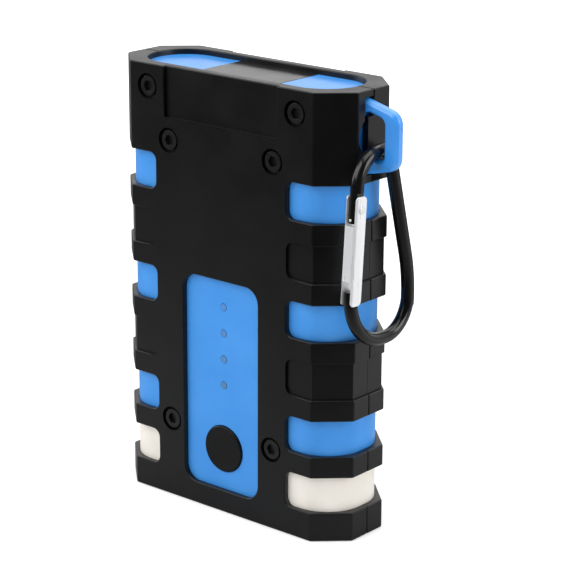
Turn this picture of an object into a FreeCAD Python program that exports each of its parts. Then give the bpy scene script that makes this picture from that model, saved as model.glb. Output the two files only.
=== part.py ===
import FreeCAD, Part
import math
import os
from types import SimpleNamespace
import Sketcher

# Jump starter pack with an armoured case, side windows, a lantern band, a lanyard loop and a carabiner.
# Frame: X to the right, Y into the depth, Z up. The origin is the middle of the base at the case's seam.
# All sizes are millimetres.

SIZES = {
    # Case outline, an octagon in plan
    "body_width": 109.0,
    "body_depth": 38.0,
    "body_height": 165.0,
    "chamfer_width": 11.2,
    "chamfer_depth": 10.4,
    # Armour walls and the clearances between seated pieces
    "front_wall": 1.8,
    "side_wall": 2.3,
    "end_wall": 4.0,
    "seam_gap": 0.15,
    "fit_gap": 0.2,
    # Openings in the two ends
    "rim_side": 7.5,
    "rim_front": 5.0,
    "opening_flat": 0.4,
    "cap_recess": 2.0,
    # Side windows: down to the first, up to the last, and in from the side
    "window_drop": 32.9,
    "window_base": 10.85,
    "window_height": 13.5,
    "window_reach": 23.2,
    "window_round": 3.0,
    "recess_cut": 0.9,
    # Recessed panel between the upper screws, on the front and the back
    "badge_side": 27.8,
    "badge_height": 18.7,
    "badge_cut": 1.2,
    # Control window in the front armour
    "control_width": 36.0,
    "control_low": 8.5,
    "control_high": 89.7,
    "control_round": 6.0,
    # Armour screws: in from the side, and down from the top or up from the base
    "upper_screw_side": 19.6,
    "upper_screw_drop": 8.5,
    "middle_screw_side": 29.8,
    "middle_screw_drop": 27.1,
    "lower_screw_side": 30.0,
    "lower_screw_z": 30.7,
    "screw_head_width": 7.4,
    "screw_head_height": 2.2,
    "screw_width": 3.9,
    "screw_tip_gap": 1.9,
    "screw_socket": 4.2,
    "screw_socket_depth": 1.4,
    "counterbore_width": 9.4,
    "counterbore_depth": 2.6,
    "front_boss_width": 12.0,
    "front_boss_length": 3.0,
    "back_boss_width": 8.6,
    "back_boss_length": 7.2,
    "insert_width": 5.2,
    "insert_length": 5.5,
    # Inner housing
    "housing_wall": 2.0,
    "housing_flat": 2.0,
    "lid_plate": 2.1,
    "lid_gap": 0.2,
    # Bare plate on the top cap
    "plate_width": 37.0,
    "plate_edge_gap": 0.7,
    "plate_thickness": 0.8,
    # Control panel, its lights and its button
    "panel_margin": 1.0,
    "panel_thickness": 1.2,
    "panel_bore_width": 29.0,
    "panel_bore_low": 12.5,
    "panel_bore_high": 86.0,
    "light_low": 49.2,
    "light_pitch": 10.0,
    "light_width": 2.8,
    "pipe_bar_width": 6.0,
    "pipe_bar_thickness": 1.4,
    "button_z": 24.2,
    "button_width": 17.8,
    "button_proud": 0.7,
    "button_flange": 1.0,
    "button_flange_thickness": 0.8,
    "button_stem_width": 4.0,
    "button_travel": 0.6,
    "slide_gap": 0.1,
    # Control board behind the panel
    "board_thickness": 1.0,
    "control_board_width": 26.0,
    "control_board_low": 13.5,
    "control_board_high": 85.0,
    "control_board_gap": 3.0,
    "post_width": 4.4,
    "post_inset": 2.6,
    "post_screw_width": 1.8,
    "post_screw_head": 3.4,
    "post_screw_head_height": 0.7,
    "post_screw_length": 3.2,
    "switch_width": 6.2,
    "switch_height": 0.9,
    "led_width": 1.6,
    "led_height": 0.8,
    # Battery
    "cell_side_gap": 17.0,
    "cell_low": 36.5,
    "cell_top_gap": 36.5,
    "cell_front_gap": 0.8,
    "cell_gap": 0.15,
    "cell_round": 1.6,
    "tab_width": 6.0,
    "tab_thickness": 0.4,
    "tab_x": 15.0,
    "tab_height": 2.4,
    "guard_board_inset": 3.0,
    "guard_board_depth": 22.0,
    "foam_inset": 4.0,
    "foam_thickness": 1.85,
    "foam_panel_gap": 3.0,
    "foam_edge_gap": 1.5,
    "strap_thickness": 0.8,
    "strap_width": 5.0,
    "strap_gap": 0.4,
    "strap_foot_z": 22.6,
    "strap_step": 2.2,
    # Output socket, at the left of the bottom end
    "socket_x": -28.0,
    "socket_width": 24.0,
    "socket_depth": 12.0,
    "socket_height": 17.0,
    "socket_wall": 1.8,
    "socket_well": 11.0,
    "blade_width": 6.0,
    "blade_thickness": 1.6,
    "blade_pitch": 12.0,
    "blade_inset": 2.0,
    # Main board with the USB and charging ports
    "main_board_thickness": 1.6,
    "main_board_left_end": 3.45,
    "main_board_right_end": 6.55,
    "main_board_height": 28.0,
    "main_board_hole": 6.0,
    "usb_left_x": -3.0,
    "usb_right_x": 14.5,
    "usb_width": 13.1,
    "usb_depth": 5.8,
    "usb_length": 14.0,
    "usb_sheet": 0.5,
    "usb_tongue_width": 11.0,
    "usb_tongue_depth": 1.8,
    "usb_tongue_length": 8.5,
    "charge_x": 33.0,
    "charge_width": 8.9,
    "charge_depth": 3.2,
    "charge_length": 9.0,
    "charge_round": 1.5,
    "coil_size": 12.0,
    "coil_depth": 6.0,
    "coil_round": 2.0,
    "can_width": 8.0,
    "can_length": 11.0,
    # Lantern band
    "diffuser_overlap": 2.8,
    "diffuser_margin": 1.4,
    "lantern_board_gap": 4.0,
    "lantern_side_gap": 5.0,
    "lantern_board_height": 13.0,
    "lantern_led_width": 3.0,
    "lantern_led_height": 1.4,
    "lantern_led_pitch": 6.0,
    # Lanyard loop on the right side
    "loop_thickness": 4.4,
    "loop_standout": 13.6,
    "loop_drop": 2.8,
    "loop_height": 27.2,
    "loop_fall": 4.0,
    "loop_rise": 3.8,
    "loop_upper_round": 5.0,
    "loop_lower_round": 5.0,
    "loop_edge_cut": 1.1,
    "lower_bar": 6.5,
    "upper_bar": 2.3,
    "upper_bar_root": 4.6,
    "outer_bar": 6.1,
    "eye_upper_round": 3.0,
    "eye_lower_round": 1.6,
    "anchor_width": 3.6,
    "anchor_inset": 0.4,
    "anchor_top_bar": 2.2,
    "anchor_low_cut": 1.5,
    "keeper_reach": 3.0,
    "notch_width": 14.0,
    "notch_reach": 8.1,
    # Carabiner, measured from the middle of the loop's lower bar with its gate upright
    "carabiner_tilt": 4.1,
    "rod_width": 4.8,
    "rod_gap": 0.6,
    "rod_side_gap": 0.8,
    "rod_flat": 0.8,
    "gate_line": -11.4,
    "clip_width": 33.0,
    "apex_gap": 16.7,
    "shoulder_round": 12.0,
    "apex_round": 5.5,
    "spine_bend_z": -42.7,
    "spine_round": 60.0,
    "foot_depth": 15.0,
    "foot_back_round": 13.0,
    "foot_front_round": 18.0,
    "gate_top": -9.0,
    "gate_length": 38.6,
    "gate_side_gap": 0.3,
    "gate_sheet": 0.7,
    "gate_round": 1.2,
    "gate_end_round": 1.8,
    "gate_outer_gap": 0.5,
    "gate_inner_gap": 0.2,
    "tongue_length": 9.6,
    "nose_length": 4.8,
    "web_gap": 0.8,
    "web_low_gap": 3.8,
    "end_gap": 0.5,
    "rivet_drop": 4.6,
    "rivet_width": 1.8,
    "rivet_head_width": 3.0,
    "rivet_head_height": 0.5,
    "rivet_play": 0.06,
    "leaf_thickness": 0.4,
    "leaf_side_gap": 0.4,
    "leaf_length": 16.0,
}


class Size:
    """A length with its value and the sheet expression that gives it."""

    def __init__(self, value, text):
        self.value = value
        self.text = text

    def __add__(self, other):
        other = as_size(other)
        return Size(self.value + other.value, f"({self.text} + {other.text})")

    def __sub__(self, other):
        other = as_size(other)
        return Size(self.value - other.value, f"({self.text} - {other.text})")

    def __mul__(self, other):
        other = as_size(other)
        return Size(self.value * other.value, f"({self.text} * {other.text})")

    def __truediv__(self, other):
        other = as_size(other)
        return Size(self.value / other.value, f"({self.text} / {other.text})")

    def __neg__(self):
        return Size(-self.value, f"(0 - {self.text})")


def as_size(thing):
    if isinstance(thing, Size):
        return thing
    return Size(float(thing), str(float(thing)))


def root(size):
    return Size(math.sqrt(size.value), f"sqrt({size.text})")


doc = FreeCAD.newDocument("JumpStarter")
sheet = doc.addObject("Spreadsheet::Sheet", "Sizes")
for row, (alias, number) in enumerate(SIZES.items(), 1):
    sheet.set(f"A{row}", alias)
    sheet.set(f"B{row}", str(number))
    sheet.setAlias(f"B{row}", alias)
doc.recompute()
d = SimpleNamespace(**{alias: Size(number, f"Sizes.{alias}") for alias, number in SIZES.items()})

TURNS = {
    "x": FreeCAD.Rotation(FreeCAD.Vector(0, 1, 0), 90),
    "y": FreeCAD.Rotation(FreeCAD.Vector(1, 0, 0), -90),
    "z": FreeCAD.Rotation(),
}
OVERRUN = 5.0
TOUCHING = 1e-5
OPEN_WINDOWS = (0, 2, 4)
BLIND_WINDOWS = (1, 3)
LANTERN_WINDOW = 5
CELL_COUNT = 3
LIGHT_COUNT = 4
parts = []


# General helpers

def bind(item, path, size):
    item.setExpression(path, as_size(size).text)


def place(item, x=0, y=0, z=0):
    for axis, size in zip("xyz", (x, y, z)):
        bind(item, f"Placement.Base.{axis}", size)


def draw_loop(sketch, corners):
    """A closed run of lines whose corners are held at sizes from the sketch's origin."""
    first = sketch.GeometryCount
    count = len(corners)
    points = [FreeCAD.Vector(as_size(u).value, as_size(v).value, 0) for u, v in corners]
    for index in range(count):
        sketch.addGeometry(Part.LineSegment(points[index], points[(index + 1) % count]), False)
    for index, corner in enumerate(corners):
        line = first + index
        joined = first + (index + 1) % count
        sketch.addConstraint(Sketcher.Constraint("Coincident", line, 2, joined, 1))
        for kind, size in zip(("DistanceX", "DistanceY"), corner):
            size = as_size(size)
            number = sketch.addConstraint(Sketcher.Constraint(kind, -1, 1, line, 1, size.value))
            bind(sketch, f"Constraints[{number}]", size)


def edges_at(body, points):
    """The body's last feature and its edges that pass through the given points."""
    doc.recompute()
    base = body.Tip
    marks = [Part.Vertex(*point) for point in points]
    edges = [
        f"Edge{number}" for number, edge in enumerate(base.Shape.Edges, 1)
        if any(edge.distToShape(mark)[0] < TOUCHING for mark in marks)
    ]
    return base, edges


def round_edges(body, name, radius, points):
    base_edges = edges_at(body, points)
    fillet = body.newObject("PartDesign::Fillet", name)
    fillet.Base = base_edges
    bind(fillet, "Radius", radius)


def chamfer_edges(body, name, size, points):
    base_edges = edges_at(body, points)
    chamfer = body.newObject("PartDesign::Chamfer", name)
    chamfer.Base = base_edges
    bind(chamfer, "Size", size)


def on_plane(plane, corner, along):
    """The point above a sketch's corner, as far along the pad as given."""
    u, v = (as_size(size).value for size in corner)
    return {"XY_Plane": (u, v, along), "XZ_Plane": (u, -along, v), "YZ_Plane": (along, u, v)}[plane]


def prism(name, plane, corners, length, at=(0, 0, 0), rounds=(), hole=()):
    """A padded outline. The pad runs to +Z on XY, to -Y on XZ and to +X on YZ."""
    body = doc.addObject("PartDesign::Body", name)
    sketch = body.newObject("Sketcher::SketchObject", name + "Outline")
    origin_plane = next(item for item in body.Origin.OriginFeatures if item.Role == plane)
    sketch.AttachmentSupport = [(origin_plane, "")]
    sketch.MapMode = "FlatFace"
    draw_loop(sketch, corners)
    if hole:
        draw_loop(sketch, hole)
    pad = body.newObject("PartDesign::Pad", name + "Pad")
    pad.Profile = sketch
    bind(pad, "Length", length)
    for number, (radius, rounded) in enumerate(rounds):
        middles = [on_plane(plane, corner, as_size(length).value / 2) for corner in rounded]
        round_edges(body, f"{name}Round{number}", radius, middles)
    place(body, *at)
    return body


def rectangle(low_u, low_v, high_u, high_v):
    return [(low_u, low_v), (high_u, low_v), (high_u, high_v), (low_u, high_v)]


def box(name, low, high):
    item = doc.addObject("Part::Box", name)
    for prop, start, end in zip(("Length", "Width", "Height"), low, high):
        bind(item, prop, as_size(end) - start)
    place(item, *low)
    return item


def cylinder(name, axis, start, width, length):
    """A round bar of the given diameter that runs from start along +axis."""
    item = doc.addObject("Part::Cylinder", name)
    bind(item, "Radius", as_size(width) / 2)
    bind(item, "Height", length)
    item.Placement = FreeCAD.Placement(FreeCAD.Vector(), TURNS[axis])
    place(item, *start)
    return item


def fuse(name, *items):
    item = doc.addObject("Part::MultiFuse", name)
    item.Shapes = list(items)
    return item


def common(name, *items):
    item = doc.addObject("Part::MultiCommon", name)
    item.Shapes = list(items)
    return item


def cut(name, base, *tools):
    item = doc.addObject("Part::Cut", name)
    item.Base = base
    item.Tool = tools[0] if len(tools) == 1 else fuse(name + "Tools", *tools)
    return item


def group(name, *items):
    item = doc.addObject("Part::Compound", name)
    item.Links = list(items)
    return item


def finished(item, node):
    item.Label = node
    parts.append(item)
    return item


def sides():
    return (("Left", -1), ("Right", 1))


# Sizes that several pieces share

half_width = d.body_width / 2
half_depth = d.body_depth / 2
cavity_x = half_width - d.side_wall
cavity_y = half_depth - d.front_wall
housing_x = cavity_x - d.fit_gap
housing_y = cavity_y - d.fit_gap
inner_x = housing_x - d.housing_wall
inner_y = housing_y - d.housing_wall
housing_round = housing_y - d.housing_flat
inner_round = housing_round - d.housing_wall
ceiling = d.body_height - d.end_wall
lid_high = ceiling - d.lid_gap / 2
lid_low = lid_high - d.lid_plate
sleeve_high = lid_low - d.lid_gap
floor_low = d.end_wall + d.lid_gap / 2
floor_high = floor_low + d.lid_plate
sleeve_low = floor_high + d.lid_gap
opening_x = half_width - d.rim_side
opening_y = half_depth - d.rim_front
opening_round = opening_y - d.opening_flat
plate_x = d.plate_width / 2
plate_y = opening_y - d.plate_edge_gap
window_inner = half_width - d.window_reach
window_top = d.body_height - d.window_drop
window_pitch = (window_top - d.window_height - d.window_base) / LANTERN_WINDOW
badge_x = half_width - d.badge_side
badge_low = d.body_height - d.badge_height
panel_face = -housing_y
panel_back = panel_face + d.panel_thickness
board_face = panel_back + d.control_board_gap
board_back = board_face + d.board_thickness
cell_x = inner_x - d.cell_side_gap
cell_high = d.body_height - d.cell_top_gap
cell_front = board_back + d.post_screw_head_height + d.cell_front_gap
cells_back = inner_y - d.fit_gap - d.foam_thickness
cell_pitch = (cells_back - cell_front) / CELL_COUNT
cell_thickness = cell_pitch - d.cell_gap

loop_back = -(d.seam_gap / 2)
loop_front = loop_back - d.loop_thickness
loop_middle = (loop_front + loop_back) / 2
loop_reach = half_width + d.loop_standout
loop_root_high = d.body_height - d.loop_drop
loop_high = loop_root_high - d.loop_fall
loop_root_low = loop_root_high - d.loop_height
loop_low = loop_root_low + d.loop_rise
loop_shoulder = housing_x + d.anchor_inset
anchor_high = sleeve_high - d.fit_gap
anchor_low = loop_root_low + d.anchor_low_cut
eye_low = loop_root_low + d.lower_bar
eye_high = loop_high - d.upper_bar
eye_root_high = loop_root_high - d.upper_bar_root
eye_reach = loop_reach - d.outer_bar

rod_x = eye_reach - d.rod_side_gap - d.rod_width / 2
bar_low = loop_root_low + d.loop_rise * (rod_x - loop_shoulder) / (loop_reach - loop_shoulder)
bar_middle = (bar_low + eye_low) / 2
top_line = (eye_low - bar_low) / 2 + d.rod_gap + d.rod_width / 2
spine_y = d.gate_line + d.clip_width
apex_y = d.gate_line + d.apex_gap
gate_low = d.gate_top - d.gate_length
tongue_end = d.gate_top - d.tongue_length
nose_end = gate_low + d.nose_length
foot_z = gate_low - d.foot_depth
rivet_z = d.gate_top - d.rivet_drop
gate_inside = d.rod_width / 2 - d.rod_flat + d.gate_side_gap
gate_half = gate_inside + d.gate_sheet
gate_outer = d.gate_line - d.rod_width / 2 - d.gate_outer_gap
gate_inner = d.gate_line + d.rod_width / 2 + d.gate_inner_gap

SCREWS = (
    ("Upper", half_width - d.upper_screw_side, d.body_height - d.upper_screw_drop),
    ("Middle", half_width - d.middle_screw_side, d.body_height - d.middle_screw_drop),
    ("Lower", half_width - d.lower_screw_side, d.lower_screw_z),
)


def screw_places():
    for level, x, z in SCREWS:
        for side, sign in sides():
            yield level + side, x * sign, z


def screw_row(name, y, width, length):
    """Round bars along +Y, one on each screw's axis."""
    bars = [
        cylinder(name + where, "y", (x, y, z), width, length)
        for where, x, z in screw_places()
    ]
    return fuse(name, *bars)


def window_low(index):
    return window_top - window_pitch * index - d.window_height


def block(name, x, y, radius, low, high):
    """A rounded block centred on the Z axis, given by its half sizes."""
    corners = rectangle(-x, -y, x, y)
    return prism(name, "XY_Plane", corners, high - low, (0, 0, low), [(radius, corners)])


def octagon(name, inset):
    """The case's plan, drawn in by an even inset."""
    slope = root(d.chamfer_width * d.chamfer_width + d.chamfer_depth * d.chamfer_depth)
    flat_x = half_width - d.chamfer_width - inset * (slope - d.chamfer_width) / d.chamfer_depth
    flat_y = half_depth - d.chamfer_depth - inset * (slope - d.chamfer_depth) / d.chamfer_width
    x = half_width - inset
    y = half_depth - inset
    corners = [
        (-flat_x, -y), (flat_x, -y), (x, -flat_y), (x, flat_y),
        (flat_x, y), (-flat_x, y), (-x, flat_y), (-x, -flat_y),
    ]
    return prism(name, "XY_Plane", corners, d.body_height)


# Armour: two halves that meet at the seam

def side_window(name, sign, index):
    inner = window_inner * sign
    outer = (half_width + OVERRUN) * sign
    low = window_low(index)
    high = low + d.window_height
    corners = [(inner, low), (outer, low), (outer, high), (inner, high)]
    reach = half_depth + OVERRUN
    rounds = [(d.window_round, [(inner, low), (inner, high)])]
    return prism(name, "XZ_Plane", corners, reach * 2, (0, reach, 0), rounds)


def armour_windows():
    cuts = [
        side_window(f"Window{side}{index}", sign, index)
        for side, sign in sides() for index in (*OPEN_WINDOWS, LANTERN_WINDOW)
    ]
    blind = [
        side_window(f"Blind{side}{index}", sign, index)
        for side, sign in sides() for index in BLIND_WINDOWS
    ]
    skin = cut("ArmourSkin", octagon("SkinOuter", as_size(0)), octagon("SkinInner", d.recess_cut))
    return fuse("ArmourWindows", *cuts, common("BlindWindows", fuse("BlindBlocks", *blind), skin))


def armour_hollow():
    cavity = block("Cavity", cavity_x, cavity_y, housing_round + d.fit_gap, d.end_wall, ceiling)
    low = as_size(-OVERRUN)
    high = d.body_height + OVERRUN
    well = block("EndOpenings", opening_x, opening_y, opening_round, low, high)
    return fuse("ArmourHollow", cavity, well)


def badge_recess(name, sign):
    face = half_depth * sign
    floor = face - d.badge_cut * sign
    outer = face + OVERRUN * sign
    low, high = (outer, floor) if sign < 0 else (floor, outer)
    top = d.body_height + OVERRUN
    return box(name, (-badge_x, low, badge_low), (badge_x, high, top))


def armour_half(name, sign):
    """One half of the outline, as a plain block on its side of the seam."""
    reach = half_depth + OVERRUN
    gap = d.seam_gap / 2
    near, far = (gap, reach) if sign > 0 else (-reach, -gap)
    side = half_width + OVERRUN
    slab = box(name + "Slab", (-side, near, 0), (side, far, d.body_height))
    return common(name, octagon(name + "Plan", as_size(0)), slab)


def loop_slot():
    """Where the loop leaves the front armour, with the round notch beside it."""
    x = housing_x - d.fit_gap
    outer = half_width + OVERRUN
    low = (x, loop_front - d.fit_gap, loop_root_low - d.fit_gap)
    slot = box("LoopRoom", low, (outer, as_size(OVERRUN), loop_root_high + d.fit_gap))
    notch_y = d.notch_width / 2 - d.notch_reach
    notch_z = (eye_low + eye_high) / 2
    notch = cylinder("LoopNotch", "x", (x, notch_y, notch_z), d.notch_width, outer - x)
    return fuse("LoopSlot", slot, notch)


def loop_keeper():
    """The tab of the back armour that stands in the loop's eye and holds its anchor in."""
    low = (cavity_x, -d.keeper_reach, eye_low + d.fit_gap)
    high = (half_width, half_depth - d.chamfer_depth, eye_high - d.fit_gap)
    return box("LoopKeeper", low, high)


def control_window():
    x = d.control_width / 2
    corners = rectangle(-x, d.control_low, x, d.control_high)
    length = d.front_wall + OVERRUN * 2
    place_y = -half_depth + d.front_wall + OVERRUN
    rounds = [(d.control_round, corners)]
    return prism("ControlWindow", "XZ_Plane", corners, length, (0, place_y, 0), rounds)


def front_armour(windows, hollow):
    wall_face = -cavity_y
    overlap = d.front_wall / 2
    boss_length = d.front_boss_length + overlap
    bosses = screw_row("FrontBosses", wall_face - overlap, d.front_boss_width, boss_length)
    shell = cut("FrontShell", armour_half("FrontBlock", -1), hollow, windows, control_window())
    bored = fuse("FrontShellBosses", shell, bosses)
    outside = -half_depth - OVERRUN
    heads = screw_row("HeadBores", outside, d.counterbore_width, d.counterbore_depth + OVERRUN)
    shanks = screw_row("ShankBores", outside, d.screw_width + d.fit_gap * 2, d.body_depth)
    room_y = wall_face + d.front_boss_length + d.fit_gap
    panel_room = panel_outline("PanelRoom", d.fit_gap, room_y, d.front_boss_length + d.fit_gap)
    recess = badge_recess("FrontBadge", -1)
    item = cut("FrontArmour", bored, heads, shanks, panel_room, recess, loop_slot())
    return finished(item, "front_armour")


def back_armour(windows, hollow):
    boss_face = cavity_y - d.back_boss_length
    length = d.back_boss_length + d.front_wall / 2
    bosses = screw_row("BackBosses", boss_face, d.back_boss_width, length)
    shell = cut("BackShell", armour_half("BackBlock", 1), hollow, windows)
    bored = fuse("BackShellBosses", shell, bosses, loop_keeper())
    depth = d.insert_length + d.fit_gap * 2
    pockets = screw_row("InsertPockets", boss_face - d.fit_gap, d.insert_width, depth)
    item = cut("BackArmour", bored, pockets, badge_recess("BackBadge", 1))
    return finished(item, "back_armour")


def armour_screws():
    seat_y = -half_depth + d.counterbore_depth
    head_y = seat_y - d.screw_head_height
    insert_end = cavity_y - d.back_boss_length + d.insert_length
    length = insert_end - d.screw_tip_gap - seat_y
    screws = []
    for where, x, z in screw_places():
        head_place = (x, head_y, z)
        head = cylinder("Head" + where, "y", head_place, d.screw_head_width, d.screw_head_height)
        shank = cylinder("Shank" + where, "y", (x, seat_y, z), d.screw_width, length)
        socket = doc.addObject("Part::Prism", "Socket" + where)
        socket.Polygon = 6
        bind(socket, "Circumradius", d.screw_socket / 2)
        bind(socket, "Height", d.screw_socket_depth + OVERRUN)
        socket.Placement = FreeCAD.Placement(FreeCAD.Vector(), TURNS["y"])
        place(socket, x, head_y - OVERRUN, z)
        screws.append(cut("Screw" + where, fuse("Blank" + where, head, shank), socket))
    return finished(group("ArmourScrews", *screws), "armour_screws")


def screw_inserts():
    start = cavity_y - d.back_boss_length
    inserts = []
    for where, x, z in screw_places():
        sleeve = cylinder("Sleeve" + where, "y", (x, start, z), d.insert_width, d.insert_length)
        reach = d.insert_length + OVERRUN * 2
        bore = cylinder("SleeveBore" + where, "y", (x, start - OVERRUN, z), d.screw_width, reach)
        inserts.append(cut("Insert" + where, sleeve, bore))
    return finished(group("ScrewInserts", *inserts), "screw_inserts")


# Inner housing: a sleeve with a cap at the top and a port panel at the bottom

def diffuser_band(name, sign, gap):
    """The block that holds one side's diffuser, grown by gap."""
    low = window_low(LANTERN_WINDOW) - d.diffuser_margin - gap
    high = low + d.window_height + (d.diffuser_margin + gap) * 2
    inner = (window_inner - d.diffuser_overlap - gap) * sign
    outer = (half_width + OVERRUN) * sign
    start, end = (inner, outer) if sign > 0 else (outer, inner)
    return box(name, (start, -half_depth, low), (end, half_depth, high))


def housing_tube(name, low, high):
    outer = block(name + "Outer", housing_x, housing_y, housing_round, low, high)
    inner = block(name + "Inner", inner_x, inner_y, inner_round, low - OVERRUN, high + OVERRUN)
    return cut(name, outer, inner)


def panel_outline(name, gap, y, length):
    margin = d.panel_margin + gap
    x = d.control_width / 2 + margin
    corners = rectangle(-x, d.control_low - margin, x, d.control_high + margin)
    return prism(name, "XZ_Plane", corners, length, (0, y, 0), [(d.control_round, corners)])


def housing_sleeve():
    tube = housing_tube("SleeveTube", sleeve_low, sleeve_high)
    bosses = screw_row("FrontBossHoles", -half_depth, d.front_boss_width + d.fit_gap * 2, half_depth)
    inserts = screw_row("BackBossHoles", as_size(0), d.back_boss_width + d.fit_gap * 2, half_depth)
    seat = panel_back + d.fit_gap / 2
    pocket = panel_outline("PanelPocket", d.fit_gap, seat, d.panel_thickness * 2)
    bore_x = d.panel_bore_width / 2
    bore_low = (-bore_x, -half_depth, d.panel_bore_low)
    bore = box("PanelBore", bore_low, (bore_x, 0, d.panel_bore_high))
    bands = [diffuser_band("BandSpace" + side, sign, d.fit_gap) for side, sign in sides()]
    anchor = box(
        "AnchorSlot",
        (inner_x - d.anchor_width, loop_front - d.fit_gap, anchor_low - d.fit_gap),
        (half_width, loop_back + d.fit_gap, sleeve_high + OVERRUN),
    )
    item = cut("HousingSleeve", tube, bosses, inserts, pocket, bore, *bands, anchor)
    return finished(item, "housing_sleeve")


def lid(name, low, high, face):
    """An end piece: a plate that covers the sleeve and a raised land that fills the armour's opening."""
    plate = block(name + "Plate", housing_x, housing_y, housing_round, low, high)
    land_x = opening_x - d.fit_gap
    land_y = opening_y - d.fit_gap
    start, end = (low, face) if face.value > low.value else (face, high)
    land = block(name + "Land", land_x, land_y, opening_round - d.fit_gap, start, end)
    return fuse(name + "Blank", plate, land)


def top_cap():
    face = d.body_height - d.cap_recess
    x = plate_x + d.fit_gap / 2
    y = plate_y + d.fit_gap / 2
    pocket = box("PlatePocket", (-x, -y, face - d.plate_thickness), (x, y, face + OVERRUN))
    boss_room = d.front_boss_width + d.fit_gap * 2
    boss_depth = half_depth - cavity_y + d.front_boss_length + d.fit_gap
    bosses = screw_row("CapFrontNotches", -half_depth, boss_room, boss_depth)
    insert_room = d.back_boss_width + d.fit_gap * 2
    insert_face = cavity_y - d.back_boss_length - d.fit_gap
    inserts = screw_row("CapBackNotches", insert_face, insert_room, half_depth)
    blank = lid("Cap", lid_low, lid_high, face)
    return finished(cut("TopCap", blank, pocket, bosses, inserts), "top_cap")


def cap_plate():
    face = d.body_height - d.cap_recess
    low = (-plate_x, -plate_y, face - d.plate_thickness)
    return finished(box("CapPlate", low, (plate_x, plate_y, face)), "cap_plate")


def port_hole(name, x, width, depth):
    half = width / 2 + d.fit_gap
    deep = depth / 2 + d.fit_gap
    return box(name, (x - half, -deep, -OVERRUN), (x + half, deep, floor_high + OVERRUN))


def bottom_panel():
    holes = [
        port_hole("SocketHole", d.socket_x, d.socket_width, d.socket_depth),
        port_hole("UsbLeftHole", d.usb_left_x, d.usb_width, d.usb_depth),
        port_hole("UsbRightHole", d.usb_right_x, d.usb_width, d.usb_depth),
        port_hole("ChargeHole", d.charge_x, d.charge_width, d.charge_depth),
    ]
    blank = lid("Floor", floor_low, floor_high, d.cap_recess)
    return finished(cut("BottomPanel", blank, *holes), "bottom_panel")


# Control panel, its button, lights and board

def light_places():
    return [(f"Light{index}", d.light_low + d.light_pitch * index) for index in range(LIGHT_COUNT)]


def post_places():
    x = d.control_board_width / 2 - d.post_inset
    low = d.control_board_low + d.post_inset
    high = d.control_board_high - d.post_inset
    return [
        ("LowLeft", -x, low), ("LowRight", x, low),
        ("HighLeft", -x, high), ("HighRight", x, high),
    ]


def control_panel():
    plate = panel_outline("PanelPlate", as_size(0), panel_back, d.panel_thickness)
    holes = [
        cylinder(name + "Hole", "y", (0, -half_depth, z), d.light_width, half_depth)
        for name, z in light_places()
    ]
    button_place = (0, -half_depth, d.button_z)
    button = cylinder("ButtonHole", "y", button_place, d.button_width + d.slide_gap * 2, half_depth)
    post_length = d.control_board_gap - d.fit_gap / 2
    posts = []
    for name, x, z in post_places():
        post = cylinder("Post" + name, "y", (x, panel_back, z), d.post_width, post_length)
        bore = cylinder("PostBore" + name, "y", (x, panel_back, z), d.post_screw_width, OVERRUN)
        posts.append(cut("BoredPost" + name, post, bore))
    drilled = cut("DrilledPlate", plate, button, *holes)
    return finished(fuse("ControlPanel", drilled, *posts), "control_panel")


def light_pipe():
    bar_x = d.pipe_bar_width / 2
    low = d.light_low - bar_x
    high = d.light_low + d.light_pitch * (LIGHT_COUNT - 1) + bar_x
    back = panel_back + d.pipe_bar_thickness
    corners = rectangle(-bar_x, low, bar_x, high)
    rounds = [(bar_x - d.slide_gap, corners)]
    bar = prism("PipeBar", "XZ_Plane", corners, d.pipe_bar_thickness, (0, back, 0), rounds)
    pin_width = d.light_width - d.slide_gap
    pin_length = d.panel_thickness + d.pipe_bar_thickness / 2
    pins = [
        cylinder(name + "Pin", "y", (0, panel_face, z), pin_width, pin_length)
        for name, z in light_places()
    ]
    return finished(fuse("LightPipe", bar, *pins), "light_pipe")


def power_button():
    face = panel_face - d.button_proud
    flange_face = panel_back + d.slide_gap
    flange_back = flange_face + d.button_flange_thickness
    stem_end = board_face - d.switch_height - d.button_travel - d.slide_gap
    cap = cylinder("ButtonCap", "y", (0, face, d.button_z), d.button_width, flange_back - face)
    flange_place = (0, flange_face, d.button_z)
    flange_width = d.button_width + d.button_flange * 2
    flange = cylinder("ButtonFlange", "y", flange_place, flange_width, d.button_flange_thickness)
    stem_length = stem_end - flange_face
    stem = cylinder("ButtonStem", "y", flange_place, d.button_stem_width, stem_length)
    return finished(fuse("PowerButton", cap, flange, stem), "power_button")


def control_board():
    x = d.control_board_width / 2
    low = (-x, board_face, d.control_board_low)
    board = box("ControlBoardBlank", low, (x, board_back, d.control_board_high))
    width = d.post_screw_width + d.fit_gap
    holes = [
        cylinder("BoardHole" + name, "y", (post_x, board_face - OVERRUN, z), width, OVERRUN * 2)
        for name, post_x, z in post_places()
    ]
    return finished(cut("ControlBoard", board, *holes), "control_board")


def board_screws():
    screws = []
    tip = board_back - d.post_screw_length
    for name, x, z in post_places():
        shank = cylinder("TinyShank" + name, "y", (x, tip, z), d.post_screw_width, d.post_screw_length)
        head_place = (x, board_back, z)
        head = cylinder("TinyHead" + name, "y", head_place, d.post_screw_head, d.post_screw_head_height)
        screws.append(fuse("TinyScrew" + name, shank, head))
    return finished(group("BoardScrews", *screws), "board_screws")


def power_switch():
    half = d.switch_width / 2
    low = (-half, board_face - d.switch_height, d.button_z - half)
    high = (half, board_face, d.button_z + half)
    return finished(box("PowerSwitch", low, high), "power_switch")


def indicator_leds():
    half = d.led_width / 2
    face = board_face - d.led_height
    leds = [
        box("Led" + name, (-half, face, z - half), (half, board_face, z + half))
        for name, z in light_places()
    ]
    return finished(group("IndicatorLeds", *leds), "indicator_leds")


# Battery pack

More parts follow.
